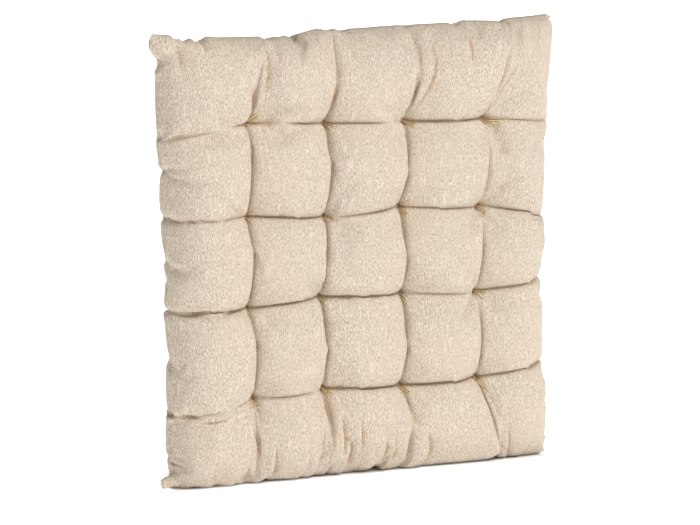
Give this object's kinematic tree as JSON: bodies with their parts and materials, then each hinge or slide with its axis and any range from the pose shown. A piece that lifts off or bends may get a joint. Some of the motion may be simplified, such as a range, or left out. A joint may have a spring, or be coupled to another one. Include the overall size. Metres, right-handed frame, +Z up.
{
  "type": "chair seat pad",
  "caption": "Square tufted chair seat pad in natural linen weave, filled with fibre, with a plain sewn edge and yarn tufts, standing on its lower edge.",
  "frame": {"origin": "middle of the lower edge on the surface that the pad stands on, midway between front and back", "axes": "+X to the right seen from the front, +Y from the front (sitting) face to the back (under) face, +Z up from the lower edge to the upper edge"},
  "size_m": [0.4, 0.052, 0.4],
  "materials": {
    "linen": "matte natural linen and cotton weave with slubs",
    "batting": "matte white polyester fibre",
    "sewing_thread": "matte thread in the colour of the cloth",
    "tuft_yarn": "golden yarn with a slight sheen"
  },
  "bodies": {
    "root": {"cover_front": "linen", "cover_back": "linen", "wadding_front": "batting", "fibre_core": "batting", "wadding_back": "batting", "edge_seam_thread": "sewing_thread", "closing_seam_thread": "sewing_thread", "tuft_1_1": "tuft_yarn", "tuft_1_2": "tuft_yarn", "tuft_1_3": "tuft_yarn", "tuft_1_4": "tuft_yarn", "tuft_2_1": "tuft_yarn", "tuft_2_2": "tuft_yarn", "tuft_2_3": "tuft_yarn", "tuft_2_4": "tuft_yarn", "tuft_3_1": "tuft_yarn", "tuft_3_2": "tuft_yarn", "tuft_3_3": "tuft_yarn", "tuft_3_4": "tuft_yarn", "tuft_4_1": "tuft_yarn", "tuft_4_2": "tuft_yarn", "tuft_4_3": "tuft_yarn", "tuft_4_4": "tuft_yarn"}
  },
  "joints": []
}
